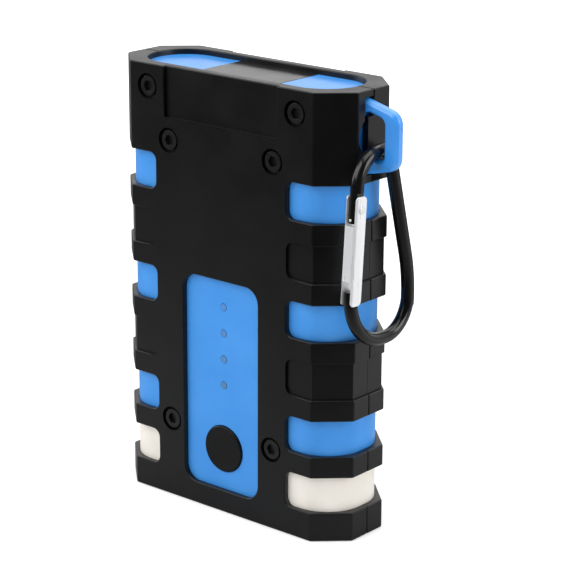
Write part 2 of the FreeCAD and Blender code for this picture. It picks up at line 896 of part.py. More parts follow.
def battery_cell(name, index, node):
    front = cell_front + cell_pitch * index
    corners = rectangle(-cell_x, front, cell_x, front + cell_thickness)
    rounds = [(d.cell_round, corners)]
    height = cell_high - d.cell_low
    return finished(prism(name, "XY_Plane", corners, height, (0, 0, d.cell_low), rounds), node)


def cell_tabs():
    tabs = []
    for index in range(CELL_COUNT):
        y = cell_front + cell_pitch * index + cell_thickness / 2
        for side, sign in sides():
            x = d.tab_x * sign
            low = (x - d.tab_width / 2, y, cell_high)
            high = (x + d.tab_width / 2, y + d.tab_thickness, cell_high + d.tab_height)
            tabs.append(box(f"Tab{side}{index}", low, high))
    return finished(group("CellTabs", *tabs), "cell_tabs")


def protection_board():
    x = cell_x - d.guard_board_inset
    middle = (cell_front + cells_back) / 2
    low = cell_high + d.tab_height
    corner = (-x, middle - d.guard_board_depth / 2, low)
    far = (x, middle + d.guard_board_depth / 2, low + d.board_thickness)
    return finished(box("ProtectionBoard", corner, far), "protection_board")


def foam_pads():
    low = d.cell_low + d.foam_inset
    high = cell_high - d.foam_inset
    x = cell_x - d.foam_inset
    back = box("FoamBack", (-x, cells_back, low), (x, inner_y - d.fit_gap, high))
    finished(back, "foam_back")
    near = d.panel_bore_width / 2 + d.foam_panel_gap
    far = cell_x - d.foam_edge_gap
    for side, sign in sides():
        start, end = (near, far) if sign > 0 else (-far, -near)
        corner = (start, -inner_y + d.fit_gap, low)
        pad = box("FoamFront" + side, corner, (end, cell_front - d.cell_gap, high))
        finished(pad, "foam_front_" + side.lower())


def blade_top(sign):
    """The top of a socket blade, where its strap sits: the right-hand one stands a step higher."""
    return d.strap_foot_z + d.strap_step if sign > 0 else d.strap_foot_z


def blade_span(sign):
    """Where a socket blade starts and ends along X."""
    middle = d.socket_x + d.blade_pitch / 2 * sign
    return middle - d.blade_thickness / 2, middle + d.blade_thickness / 2


def output_strap(name, sign, node):
    """A folded strip from the protection board, down beside the cells, to one socket blade."""
    outer = -cell_x - d.strap_gap - d.strap_thickness
    inner = outer + d.strap_thickness
    top = cell_high + d.tab_height + d.board_thickness + d.strap_thickness
    foot = blade_top(sign)
    foot_high = foot + d.strap_thickness
    foot_x = blade_span(sign)[1]
    board_x = -cell_x + d.guard_board_inset + d.strap_width
    under = top - d.strap_thickness
    corners = [
        (outer, foot), (foot_x, foot), (foot_x, foot_high), (inner, foot_high),
        (inner, under), (board_x, under), (board_x, top), (outer, top),
    ]
    near = d.strap_gap * sign
    back = near + d.strap_width if sign > 0 else near
    return finished(prism(name, "XZ_Plane", corners, d.strap_width, (0, back, 0)), node)


# Ports at the bottom end

def output_socket():
    x = d.socket_width / 2
    y = d.socket_depth / 2
    low = d.cap_recess
    block_low = (d.socket_x - x, -y, low)
    block_high = (d.socket_x + x, y, low + d.socket_height)
    body = box("SocketBlock", block_low, block_high)
    well_low = (d.socket_x - x + d.socket_wall, -y + d.socket_wall, low - OVERRUN)
    well_high = (d.socket_x + x - d.socket_wall, y - d.socket_wall, low + d.socket_well)
    well = box("SocketWell", well_low, well_high)
    slits = [output_blade("Slit", side, sign) for side, sign in sides()]
    return finished(cut("OutputSocket", body, well, *slits), "output_socket")


def output_blade(name, side, sign):
    start, end = blade_span(sign)
    y = d.blade_width / 2
    return box(name + side, (start, -y, d.cap_recess + d.blade_inset), (end, y, blade_top(sign)))


def output_blades():
    blades = [output_blade("Blade", side, sign) for side, sign in sides()]
    return finished(group("OutputBlades", *blades), "output_blades")


def main_board():
    face = d.usb_depth / 2
    low = sleeve_low
    left = d.usb_left_x - d.usb_width / 2 - d.main_board_left_end
    right = d.charge_x + d.charge_width / 2 + d.main_board_right_end
    far = (right, face + d.main_board_thickness, low + d.main_board_height)
    board = box("MainBoardBlank", (left, face, low), far)
    hole_place = (half_width - d.lower_screw_side, 0, d.lower_screw_z)
    hole = cylinder("MainBoardHole", "y", hole_place, d.main_board_hole, half_depth)
    return finished(cut("MainBoard", board, hole), "main_board")


def usb_port(side, x):
    low = d.cap_recess
    half = d.usb_width / 2
    deep = d.usb_depth / 2
    high = low + d.usb_length
    outer = box(f"Usb{side}Block", (x - half, -deep, low), (x + half, deep, high))
    hollow = box(
        f"Usb{side}Hollow",
        (x - half + d.usb_sheet, -deep + d.usb_sheet, low - OVERRUN),
        (x + half - d.usb_sheet, deep - d.usb_sheet, high - d.usb_sheet),
    )
    finished(cut(f"Usb{side}Shell", outer, hollow), f"usb_shell_{side.lower()}")
    tongue_x = d.usb_tongue_width / 2
    back = deep - d.usb_sheet
    stem = high - d.usb_sheet
    tongue = box(
        f"Usb{side}Tongue",
        (x - tongue_x, back - d.usb_tongue_depth - d.usb_sheet, stem - d.usb_tongue_length),
        (x + tongue_x, back - d.usb_sheet, stem),
    )
    finished(tongue, f"usb_tongue_{side.lower()}")


def charge_port():
    low = d.cap_recess
    half = d.charge_width / 2
    deep = d.charge_depth / 2
    back = d.usb_depth / 2
    outer_corners = rectangle(d.charge_x - half, -deep, d.charge_x + half, deep)
    rounds = [(d.charge_round, outer_corners)]
    outer = prism("ChargeBlock", "XY_Plane", outer_corners, d.charge_length, (0, 0, low), rounds)
    hollow_x = half - d.usb_sheet
    hollow_y = deep - d.usb_sheet
    corners = rectangle(d.charge_x - hollow_x, -hollow_y, d.charge_x + hollow_x, hollow_y)
    inner_rounds = [(d.charge_round - d.usb_sheet, corners)]
    length = d.charge_length - d.usb_sheet + OVERRUN
    hollow = prism("ChargeHollow", "XY_Plane", corners, length, (0, 0, low - OVERRUN), inner_rounds)
    seat = box(
        "ChargeSeat",
        (d.charge_x - hollow_x, deep - d.usb_sheet, sleeve_low),
        (d.charge_x + hollow_x, back, low + d.charge_length),
    )
    return finished(cut("ChargePort", fuse("ChargeBlank", outer, seat), hollow), "charge_port")


def power_coil():
    face = d.usb_depth / 2
    low = d.cap_recess + d.usb_length + d.fit_gap * 2
    x = d.usb_left_x
    half = d.coil_size / 2
    corners = rectangle(x - half, low, x + half, low + d.coil_size)
    rounds = [(d.coil_round, corners)]
    item = prism("PowerCoil", "XZ_Plane", corners, d.coil_depth, (0, face, 0), rounds)
    return finished(item, "power_coil")


def storage_cans():
    low = d.cap_recess + d.usb_length + d.fit_gap * 2
    y = d.usb_depth / 2 - d.can_width / 2
    cans = [
        cylinder(f"Can{side}", "z", (d.usb_right_x + (d.can_width + d.fit_gap) / 2 * sign, y, low),
                 d.can_width, d.can_length)
        for side, sign in sides()
    ]
    return finished(group("StorageCans", *cans), "storage_cans")


# Lantern

def diffuser(side, sign):
    tube = housing_tube(f"Diffuser{side}Tube", sleeve_low, window_top)
    item = common(f"Diffuser{side}", tube, diffuser_band(f"Diffuser{side}Band", sign, as_size(0)))
    return finished(item, f"{side.lower()}_diffuser")


def lantern_board(side, sign):
    x = inner_x - d.lantern_board_gap
    middle = window_low(LANTERN_WINDOW) + d.window_height / 2
    y = inner_y - d.lantern_side_gap
    half = d.lantern_board_height / 2
    near, far = (x, x + d.board_thickness) if sign > 0 else (-x - d.board_thickness, -x)
    board = box(f"Lantern{side}Board", (near, -y, middle - half), (far, y, middle + half))
    finished(board, f"{side.lower()}_lantern_board")
    half_led = d.lantern_led_width / 2
    leds = []
    for index in (-1, 0, 1):
        centre = d.lantern_led_pitch * index
        if sign > 0:
            start, end = far, far + d.lantern_led_height
        else:
            start, end = near - d.lantern_led_height, near
        low = (start, centre - half_led, middle - half_led)
        leds.append(box(f"Lantern{side}Led{index + 1}", low, (end, centre + half_led, middle + half_led)))
    finished(group(f"Lantern{side}Leds", *leds), f"{side.lower()}_lantern_leds")


# Lanyard loop

def lanyard_loop():
    """A flat D ring whose straight inner side is the anchor behind the armour."""
    seat = housing_x - d.anchor_inset
    anchor = seat - d.anchor_width
    outline = [
        (anchor, anchor_low), (loop_shoulder, anchor_low), (loop_shoulder, loop_root_low),
        (loop_reach, loop_low), (loop_reach, loop_high), (loop_shoulder, loop_root_high),
        (loop_shoulder, anchor_high), (anchor, anchor_high),
    ]
    eye = [
        (seat, eye_low), (eye_reach, eye_low), (eye_reach, eye_high),
        (half_width, eye_root_high), (seat, anchor_high - d.anchor_top_bar),
    ]
    rounds = [
        (d.loop_lower_round, [(loop_reach, loop_low)]), (d.loop_upper_round, [(loop_reach, loop_high)]),
        (d.eye_lower_round, [(eye_reach, eye_low)]), (d.eye_upper_round, [(eye_reach, eye_high)]),
    ]
    item = prism("LanyardLoop", "XZ_Plane", outline, d.loop_thickness, (0, loop_back, 0), rounds, eye)
    middles = (
        ((loop_shoulder + loop_reach) / 2, (loop_root_low + loop_low) / 2),
        (half_width, eye_low),
    )
    marks = [
        on_plane("XZ_Plane", middle, along)
        for middle in middles for along in (0, d.loop_thickness.value)
    ]
    chamfer_edges(item, "LoopEdgeCut", d.loop_edge_cut, marks)
    return finished(item, "lanyard_loop")


# Carabiner, drawn upright about the middle of the loop's lower bar, then tilted as it hangs

def hung(item):
    """Turn a piece from the carabiner's own frame onto the loop's bar."""
    item.Placement = FreeCAD.Placement(FreeCAD.Vector(), FreeCAD.Rotation(FreeCAD.Vector(1, 0, 0), 1))
    place(item, rod_x, loop_middle, bar_middle)
    bind(item, "Placement.Rotation.Angle", -d.carabiner_tilt)
    return item


def rounded_path(corners):
    """Straight runs joined by tangent arcs: each corner is (y, z, radius) in the plane x = 0."""
    points = [FreeCAD.Vector(0, y.value, z.value) for y, z, radius in corners]
    radii = [as_size(radius).value for y, z, radius in corners]
    edges = []
    start = points[0]
    for before, corner, after, radius in zip(points, points[1:], points[2:], radii[1:]):
        arriving = (corner - before).normalize()
        leaving = (after - corner).normalize()
        half_turn = arriving.getAngle(leaving) / 2
        trim = radius * math.tan(half_turn)
        arc_start = corner - arriving * trim
        arc_end = corner + leaving * trim
        inward = (leaving - arriving).normalize()
        middle = corner + inward * (radius / math.cos(half_turn) - radius)
        edges.append(Part.LineSegment(start, arc_start).toShape())
        edges.append(Part.Arc(arc_start, middle, arc_end).toShape())
        start = arc_end
    edges.append(Part.LineSegment(start, points[-1]).toShape())
    return Part.Wire(edges)


def carabiner_rod():
    """Round bar from the gate's pivot, over the loop's bar, down the spine and round to the nose."""
    path = rounded_path([
        (d.gate_line, tongue_end, 0),
        (d.gate_line, top_line, d.shoulder_round),
        (apex_y, top_line, d.apex_round),
        (spine_y, d.spine_bend_z, d.spine_round),
        (spine_y, foot_z, d.foot_back_round),
        (d.gate_line, foot_z, d.foot_front_round),
        (d.gate_line, nose_end, 0),
    ])
    start = FreeCAD.Vector(0, d.gate_line.value, tongue_end.value)
    ring = Part.Circle(start, FreeCAD.Vector(0, 0, 1), d.rod_width.value / 2).toShape()
    item = doc.addObject("Part::Feature", "CarabinerRod")
    item.Shape = path.makePipeShell([Part.Wire([ring])], True, False)
    return item


def rivet_bar(name, width, length):
    return cylinder(name, "x", (-length / 2, d.gate_line, rivet_z), width, length)


def carabiner_body():
    """The rod, flattened on both sides where the gate's two flanges pass its ends."""
    flat = d.rod_width / 2 - d.rod_flat
    spans = (
        ("Tongue", tongue_end - d.rod_width, d.gate_top + d.end_gap * 2),
        ("Nose", gate_low - d.end_gap, nose_end + d.rod_width),
    )
    cheeks = []
    for where, low, high in spans:
        for side, sign in sides():
            start, end = (flat, d.rod_width) if sign > 0 else (-d.rod_width, -flat)
            near = (start, d.gate_line - d.rod_width, low)
            cheeks.append(box(where + "Cheek" + side, near, (end, d.gate_line + d.rod_width, high)))
    bore = rivet_bar("RivetBore", d.rivet_width + d.rivet_play * 2, gate_half * 2)
    return finished(hung(cut("CarabinerBody", carabiner_rod(), bore, *cheeks)), "carabiner_body")


def carabiner_gate():
    """A channel of sheet: two flanges along its whole length and a web between the two rod ends."""
    web_high = tongue_end - d.web_gap
    web_low = nose_end + d.web_low_gap
    low = gate_low - OVERRUN
    high = d.gate_top + OVERRUN
    plan = rectangle(-gate_half, gate_outer, gate_half, gate_inner)
    fold = [(d.gate_round, plan[:2])]
    strip = prism("GateStrip", "XY_Plane", plan, d.gate_length, (0, 0, gate_low), fold)
    side = rectangle(gate_outer, gate_low, gate_inner, d.gate_top)
    ends = [(d.gate_end_round, side)]
    outline = prism("GateOutline", "YZ_Plane", side, gate_half * 2, (-gate_half, 0, 0), ends)
    blank = common("GateBlank", strip, outline)
    channel_low = (-gate_inside, gate_outer + d.gate_sheet, low)
    channel = box("GateChannel", channel_low, (gate_inside, gate_inner + OVERRUN, high))
    upper_low = (-gate_inside, gate_outer - OVERRUN, web_high)
    upper = box("GateUpperGap", upper_low, (gate_inside, gate_inner, high))
    lower_low = (-gate_inside, gate_outer - OVERRUN, low)
    lower = box("GateLowerGap", lower_low, (gate_inside, gate_inner, web_low))
    bore = rivet_bar("GateBore", d.rivet_width, gate_half * 4)
    item = cut("CarabinerGate", blank, channel, upper, lower, bore)
    return finished(hung(item), "carabiner_gate")


def gate_rivet():
    head = d.rivet_head_height
    shank = rivet_bar("RivetShank", d.rivet_width, (gate_half + head) * 2)
    heads = [
        cylinder("RivetHead" + side, "x", (x, d.gate_line, rivet_z), d.rivet_head_width, head)
        for side, x in (("Left", -gate_half - head), ("Right", gate_half))
    ]
    return finished(hung(fuse("GateRivet", shank, *heads)), "gate_rivet")


def gate_spring():
    """A leaf along the inside of the gate's web, under the end of the rod."""
    half = gate_inside - d.leaf_side_gap
    seat = gate_outer + d.gate_sheet
    high = tongue_end - d.web_gap
    leaf = box("SpringLeaf", (-half, seat, high - d.leaf_length), (half, seat + d.leaf_thickness, high))
    return finished(hung(group("GateSpring", leaf)), "gate_spring")


def build():
    windows = armour_windows()
    hollow = armour_hollow()
    front_armour(windows, hollow)
    back_armour(windows, hollow)
    armour_screws()
    screw_inserts()
    housing_sleeve()
    top_cap()
    cap_plate()
    bottom_panel()
    control_panel()
    light_pipe()
    power_button()
    control_board()
    board_screws()
    power_switch()
    indicator_leds()
    for index, where in enumerate(("Front", "Middle", "Back")):
        battery_cell("Cell" + where, index, "battery_cell_" + where.lower())
    cell_tabs()
    protection_board()
    foam_pads()
    output_strap("NegativeStrap", -1, "negative_strap")
    output_strap("PositiveStrap", 1, "positive_strap")
    output_socket()
    output_blades()
    main_board()
    usb_port("Left", d.usb_left_x)
    usb_port("Right", d.usb_right_x)
    charge_port()
    power_coil()
    storage_cans()
    for side, sign in sides():
        diffuser(side, sign)
        lantern_board(side, sign)
    lanyard_loop()
    carabiner_body()
    carabiner_gate()
    gate_rivet()
    gate_spring()


def check_and_write():
    doc.recompute()
    for item in doc.Objects:
        if "Invalid" in item.State or "Error" in item.State:
            raise RuntimeError(f"{item.Name} failed: {item.State}")
    for item in parts:
        if item.Shape.isNull() or not item.Shape.isValid():
            raise RuntimeError(f"{item.Label} has no valid shape")
    os.makedirs("parts", exist_ok=True)
    for item in parts:
        item.Shape.exportStep(f"parts/{item.Label}.step")
        print(item.Label, len(item.Shape.Solids), round(item.Shape.Volume, 1))


build()
check_and_write()
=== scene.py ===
import math

import bmesh
import bpy
from mathutils import Matrix, Vector
from mathutils.geometry import convex_hull_2d


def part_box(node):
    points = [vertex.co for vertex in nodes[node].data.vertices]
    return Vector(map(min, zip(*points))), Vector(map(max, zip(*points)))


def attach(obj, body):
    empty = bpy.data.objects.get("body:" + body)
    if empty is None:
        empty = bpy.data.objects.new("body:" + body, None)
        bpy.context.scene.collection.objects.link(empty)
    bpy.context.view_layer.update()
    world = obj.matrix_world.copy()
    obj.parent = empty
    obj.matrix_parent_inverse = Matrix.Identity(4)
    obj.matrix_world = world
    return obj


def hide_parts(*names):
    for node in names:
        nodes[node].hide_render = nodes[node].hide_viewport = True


# Looks of the jump starter pack. Everything is in metres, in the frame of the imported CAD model.

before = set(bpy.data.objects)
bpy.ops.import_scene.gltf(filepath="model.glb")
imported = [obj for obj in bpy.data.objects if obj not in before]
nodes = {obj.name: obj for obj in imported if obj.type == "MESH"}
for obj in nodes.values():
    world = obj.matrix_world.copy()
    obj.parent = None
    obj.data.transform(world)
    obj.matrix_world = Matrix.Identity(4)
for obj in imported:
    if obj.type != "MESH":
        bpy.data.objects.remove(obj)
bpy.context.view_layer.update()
scene = bpy.context.scene

MM = 0.001


# Node trees and materials

# Most of a noise lies in NOISE_REACH, and the two tones meet in TONE_REACH
NOISE_REACH = (0.3, 0.7)
TONE_REACH = (0.35, 0.65)


def srgb(red, green, blue):
    """A colour written as 0 to 255 screen values, as the linear values that the shader takes."""
    steps = (red / 255, green / 255, blue / 255)
    return tuple(s / 12.92 if s <= 0.04045 else ((s + 0.055) / 1.055) ** 2.4 for s in steps) + (1.0,)


class Tree:
    """A node tree that is filled with one call for each node."""

    def __init__(self, tree):
        self.tree = tree

    def add(self, kind, inputs=(), **settings):
        """A new node with its settings. Its inputs are pairs of a socket and its value or source."""
        item = self.tree.nodes.new(kind)
        for name, value in settings.items():
            setattr(item, name, value)
        for socket, value in inputs:
            self.feed(item.inputs[socket], value)
        return item

    def feed(self, socket, value):
        """Links a socket to its source, or sets it to a plain value."""
        if isinstance(value, bpy.types.NodeSocket):
            self.tree.links.new(value, socket)
        else:
            socket.default_value = value

    def maths(self, operation, first, second):
        return self.add("ShaderNodeMath", [(0, first), (1, second)], operation=operation).outputs[0]

    def spread(self, value, reach, results):
        """Goes through the results as value goes through its reach."""
        item = self.add("ShaderNodeMapRange", [
            ("Value", value), ("From Min", reach[0]), ("From Max", reach[1]),
            ("To Min", results[0]), ("To Max", results[1])])
        return item.outputs["Result"]

    def graded(self, place, direction, reach, results):
        """A value that changes along a direction, as between a dark card and a light one."""
        along = self.add("ShaderNodeVectorMath", [(0, place), (1, direction)], operation="DOT_PRODUCT")
        return self.spread(along.outputs["Value"], reach, results)


class Finish(Tree):
    """A material whose colour, roughness and height come from noise in the object's own space."""

    def __init__(self, name, roughness, metallic=0.0, specular=0.5):
        self.material = bpy.data.materials.new(name)
        self.material.use_nodes = True
        super().__init__(self.material.node_tree)
        self.shader = self.tree.nodes["Principled BSDF"]
        self.set("Roughness", roughness)
        self.set("Metallic", metallic)
        self.set("Specular IOR Level", specular)
        self.place = self.add("ShaderNodeTexCoord").outputs["Object"]

    def set(self, socket, value):
        self.feed(self.shader.inputs[socket], value)

    def noise(self, size, detail=3.0, roughness=0.55, stretch=(1, 1, 1)):
        """Noise whose blots are about size across, in metres, longer where stretch is small."""
        place = self.add("ShaderNodeMapping", [("Vector", self.place), ("Scale", stretch)]).outputs["Vector"]
        item = self.add("ShaderNodeTexNoise", [
            ("Vector", place), ("Scale", 1 / size), ("Detail", detail), ("Roughness", roughness)])
        return item.outputs["Fac"]

    def two_tones(self, factor, low, high, reach=TONE_REACH):
        """A colour that goes from low to high as the factor goes through its reach."""
        item = self.add("ShaderNodeValToRGB", [("Fac", factor)])
        for element, position, colour in zip(item.color_ramp.elements, reach, (low, high)):
            element.position = position
            element.color = colour
        return item.outputs["Color"]

    def vary_roughness(self, factor, low, high):
        self.set("Roughness", self.spread(factor, NOISE_REACH, (low, high)))

    def bump(self, factor, depth):
        """Low relief, depth metres high."""
        item = self.add("ShaderNodeBump", [("Height", factor), ("Distance", depth), ("Strength", 1.0)])
        self.set("Normal", item.outputs["Normal"])

    def mould(self, roughness, grain_size, grain_depth, patch_size):
        """An even spark-eroded grain, and gloss that changes a little over the surface."""
        patches = self.noise(patch_size * 0.6, detail=5.0)
        self.vary_roughness(patches, roughness - 0.05, roughness + 0.06)
        self.bump(self.noise(grain_size, detail=4.0, roughness=0.7), grain_depth)


def plastic(name, low, high, roughness, specular, grain_size, grain_depth, patch_size=0.02):
    """Moulded plastic in patches of two close tones."""
    finish = Finish(name, roughness, specular=specular)
    finish.set("Base Color", finish.two_tones(finish.noise(patch_size), low, high))
    finish.mould(roughness, grain_size, grain_depth, patch_size)
    return finish


def frosted_pipe(name, bottom, top, roughness, specular, grain_size, grain_depth, patch_size):
    """Frosted plastic of the light pipe, bluer towards its top."""
    finish = Finish(name, roughness, specular=specular)
    lowest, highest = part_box("light_pipe")
    height = finish.add("ShaderNodeSeparateXYZ", [(0, finish.place)]).outputs["Z"]
    share = finish.spread(height, (lowest.z, highest.z), (0, 1))
    finish.set("Base Color", finish.two_tones(share, bottom, top, (0, 1)))
    finish.mould(roughness, grain_size, grain_depth, patch_size)
    return finish


def metal(name, low, high, roughness, grain_size, grain_depth, stretch=(1, 1, 1), metallic=1.0):
    """Metal with fine marks, drawn out where stretch is small."""
    finish = Finish(name, roughness, metallic=metallic)
    finish.set("Base Color", finish.two_tones(finish.noise(grain_size * 12, stretch=stretch), low, high))
    finish.vary_roughness(finish.noise(grain_size * 6, stretch=stretch), roughness * 0.8, roughness * 1.25)
    finish.bump(finish.noise(grain_size, stretch=stretch), grain_depth)
    return finish


BLUE = srgb(68, 151, 232)
BLUE_DEEP = srgb(60, 144, 226)

# Plastics: two tones, roughness, specular level, grain size, grain depth, patch size
armour_black = plastic("armour_black", srgb(7, 7, 8), srgb(12, 12, 13), 0.34, 0.45, 0.00035, 0.00001)
housing_blue = plastic("housing_blue", BLUE_DEEP, BLUE, 0.34, 0.35, 0.0005, 0.000006)
cap_blue = plastic("cap_blue", BLUE_DEEP, BLUE, 0.22, 0.5, 0.0006, 0.000003)
panel_black = plastic("panel_black", srgb(16, 16, 18), srgb(24, 24, 26), 0.16, 0.5, 0.0003, 0.000003)
button_black = plastic("button_black", srgb(14, 14, 15), srgb(20, 20, 21), 0.36, 0.25, 0.0003, 0.00001)
loop_blue = plastic("loop_blue", srgb(46, 146, 237), srgb(52, 152, 243), 0.30, 1.0, 0.0005, 0.000003)
pipe_grey = frosted_pipe("pipe_grey", srgb(84, 128, 172), srgb(76, 136, 206), 0.45, 0.4, 0.0005, 0.000008, 0.002)
diffuser_white = plastic("diffuser_white", srgb(237, 231, 221), srgb(244, 239, 230), 0.42, 0.4, 0.0006, 0.00001)
rod_black = plastic("rod_black", srgb(9, 9, 10), srgb(15, 15, 16), 0.17, 0.5, 0.0004, 0.000006)
screw_black = plastic("screw_black", srgb(16, 16, 17), srgb(23, 23, 24), 0.34, 0.45, 0.0002, 0.000004, 0.003)
board_green = plastic("board_green", srgb(22, 84, 58), srgb(30, 98, 68), 0.36, 0.45, 0.0004, 0.00001, 0.004)
board_white = plastic("board_white", srgb(222, 224, 222), srgb(232, 233, 230), 0.45, 0.4, 0.0004, 0.00001, 0.004)
component = plastic("component", srgb(30, 30, 32), srgb(42, 42, 44), 0.5, 0.4, 0.0003, 0.00001, 0.003)
led_yellow = plastic("led_yellow", srgb(232, 214, 128), srgb(240, 226, 150), 0.3, 0.5, 0.0003, 0.00001, 0.003)
foam_black = plastic("foam_black", srgb(34, 34, 36), srgb(48, 48, 50), 0.9, 0.2, 0.0008, 0.0003, 0.004)

# Metals: two tones, roughness, grain size, grain depth, and where they aren't the usual ones stretch and metallic
plain_steel = metal("plain_steel", srgb(176, 178, 182), srgb(196, 198, 202), 0.32, 0.0002, 0.000006)
gate_steel = metal("gate_steel", srgb(238, 239, 241), srgb(247, 248, 249), 0.30, 0.0004, 0.000001, (1, 1, 0.06), 0.4)
rivet_steel = metal("rivet_steel", srgb(232, 233, 235), srgb(242, 243, 244), 0.28, 0.001, 0.000001, metallic=0.4)
spring_steel = metal("spring_steel", srgb(150, 152, 156), srgb(172, 174, 178), 0.30, 0.0002, 0.000005)
brass = metal("brass", srgb(205, 170, 96), srgb(218, 186, 114), 0.34, 0.0002, 0.000006)
copper = metal("copper", srgb(196, 124, 88), srgb(210, 140, 102), 0.36, 0.0002, 0.000006)
nickel = metal("nickel", srgb(196, 194, 188), srgb(212, 210, 204), 0.28, 0.0002, 0.000005)
can_aluminium = metal("can_aluminium", srgb(180, 182, 186), srgb(200, 202, 206), 0.38, 0.0002, 0.000006)
cell_foil = metal("cell_foil", srgb(170, 172, 176), srgb(196, 198, 202), 0.42, 0.0006, 0.00003)

# The loop is polished
loop_blue.set("Coat Weight", 0.7)
loop_blue.set("Coat Roughness", 0.25)

NODE_FINISHES = {
    "front_armour": armour_black, "back_armour": armour_black,
    "armour_screws": screw_black, "board_screws": plain_steel, "screw_inserts": brass,
    "housing_sleeve": housing_blue, "top_cap": cap_blue, "bottom_panel": housing_blue,
    "control_panel": housing_blue, "lanyard_loop": loop_blue,
    "cap_plate": panel_black, "power_button": button_black, "light_pipe": pipe_grey,
    "left_diffuser": diffuser_white, "right_diffuser": diffuser_white,
    "control_board": board_green, "protection_board": board_green, "main_board": board_green,
    "left_lantern_board": board_white, "right_lantern_board": board_white,
    "left_lantern_leds": led_yellow, "right_lantern_leds": led_yellow, "indicator_leds": led_yellow,
    "power_switch": component, "power_coil": component, "output_socket": component,
    "usb_tongue_left": component, "usb_tongue_right": component,
    "usb_shell_left": nickel, "usb_shell_right": nickel, "charge_port": nickel,
    "output_blades": copper, "cell_tabs": nickel, "negative_strap": nickel, "positive_strap": nickel,
    "storage_cans": can_aluminium,
    "battery_cell_front": cell_foil, "battery_cell_middle": cell_foil, "battery_cell_back": cell_foil,
    "foam_back": foam_black, "foam_front_left": foam_black, "foam_front_right": foam_black,
    "carabiner_body": rod_black, "carabiner_gate": gate_steel,
    "gate_rivet": rivet_steel, "gate_spring": spring_steel,
}


def wear(item, finish):
    item.data.materials.clear()
    item.data.materials.append(finish.material)


for name, item in nodes.items():
    wear(item, NODE_FINISHES[name])


# Pieces that stand for CAD nodes, with softly rounded edges

SAME_POINT = 0.002 * MM
SHORTEST_EDGE = 0.01 * MM
LEAST_REACH = 1.8
ROUND_ANGLE = math.radians(25)
FLAT_ANGLE = math.radians(0.6)
CREASE_ANGLE = math.radians(35)


def add_piece(name, mesh, finish, body, *stands_for):
    piece = bpy.data.objects.new(name, mesh)
    scene.collection.objects.link(piece)
    wear(piece, finish)
    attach(piece, body)
    if stands_for:
        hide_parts(*stands_for)
    return piece


def settled(piece):
    """The piece with its modifiers applied to its mesh."""
    bpy.context.view_layer.update()
    graph = bpy.context.evaluated_depsgraph_get()
    mesh = bpy.data.meshes.new_from_object(piece.evaluated_get(graph))
    piece.modifiers.clear()
    piece.data = mesh
    return piece


def face_reach(edge, face):
    """How far a face goes from one of its edges."""
    start, end = (vertex.co for vertex in edge.verts)
    along = (end - start).normalized()
    return max((vertex.co - start - along * (vertex.co - start).dot(along)).length for vertex in face.verts)


def edge_runs(edges):
    """The edges grouped into runs that hang together."""
    left = set(edges)
    while left:
        run = [left.pop()]
        for edge in run:
            joined = [other for vertex in edge.verts for other in vertex.link_edges if other in left]
            left.difference_update(joined)
            run.extend(joined)
        yield run


def run_size(run):
    """The longest side of the box round a run of edges."""
    points = [vertex.co for edge in run for vertex in edge.verts]
    return max(max(point[axis] for point in points) - min(point[axis] for point in points) for axis in range(3))


def edges_to_round(work, radius, wanted, least_run):
    """Sharp outer edges that wanted takes, where both faces are wide enough and the run is long enough."""
    chosen = []
    for edge in work.edges:
        if len(edge.link_faces) != 2 or not edge.is_convex or edge.calc_length() < SHORTEST_EDGE:
            continue
        if edge.calc_face_angle(0) < ROUND_ANGLE or not wanted(edge):
            continue
        if min(face_reach(edge, face) for face in edge.link_faces) > radius * LEAST_REACH:
            chosen.append(edge)
    kept = {edge for run in edge_runs(chosen) if run_size(run) > least_run for edge in run}
    return [edge for edge in chosen if edge in kept]


def rounded_copy(node, radius, body="root", segments=2, wanted=lambda edge: True, least_run=0):
    """A copy of a CAD node whose flat facets are joined and whose sharp edges are rounded."""
    work = bmesh.new()
    work.from_mesh(nodes[node].data)
    bmesh.ops.remove_doubles(work, verts=work.verts, dist=SAME_POINT)
    bmesh.ops.dissolve_limit(work, angle_limit=FLAT_ANGLE, verts=work.verts, edges=work.edges)
    bmesh.ops.bevel(
        work, geom=edges_to_round(work, radius, wanted, least_run), affect="EDGES",
        offset=radius, offset_type="OFFSET", segments=segments, profile=0.5,
        clamp_overlap=False, miter_outer="ARC")
    bmesh.ops.remove_doubles(work, verts=work.verts, dist=SAME_POINT)
    for face in work.faces:
        face.smooth = True
    for edge in work.edges:
        edge.smooth = len(edge.link_faces) == 2 and edge.calc_face_angle(0) < CREASE_ANGLE
    mesh = bpy.data.meshes.new(node + "_soft")
    work.to_mesh(mesh)
    work.free()
    piece = add_piece(node + "_soft", mesh, NODE_FINISHES[node], body, node)
    shade = piece.modifiers.new("Shade", "WEIGHTED_NORMAL")
    shade.keep_sharp = True
    shade.weight = 100
    return settled(piece)


# Which edges of the two armours are rounded

def armour_outline():
    """The corners of the two armours together, seen from above."""
    points = [vertex.co.xy for node in ("front_armour", "back_armour") for vertex in nodes[node].data.vertices]
    return [points[index] for index in convex_hull_2d(points)]


TOUCH = 0.03 * MM
BADGE_SIDE = 27.5 * MM
BADGE_FOOT = 140 * MM
RECESS_FOOT = 135 * MM
RECESS_HEAD = 160 * MM
SCREW_WELL = 10 * MM
OUTLINE = armour_outline()
OUTLINE_SIDE = max(point.x for point in OUTLINE)
ARMOUR_TOP = max(vertex.co.z for vertex in nodes["front_armour"].data.vertices)


def on_outline(point):
    for start, end in zip(OUTLINE, OUTLINE[1:] + OUTLINE[:1]):
        along = (end - start).normalized()
        if along.length and abs((point.xy - start).cross(along)) < TOUCH:
            return True
    return False


def at_seam(point):
    return abs(point.y) < TOUCH


def in_recess(point):
    """Whether a point is in the loop's recess, in the side."""
    return point.x > OUTLINE_SIDE - TOUCH and RECESS_FOOT < point.z < RECESS_HEAD


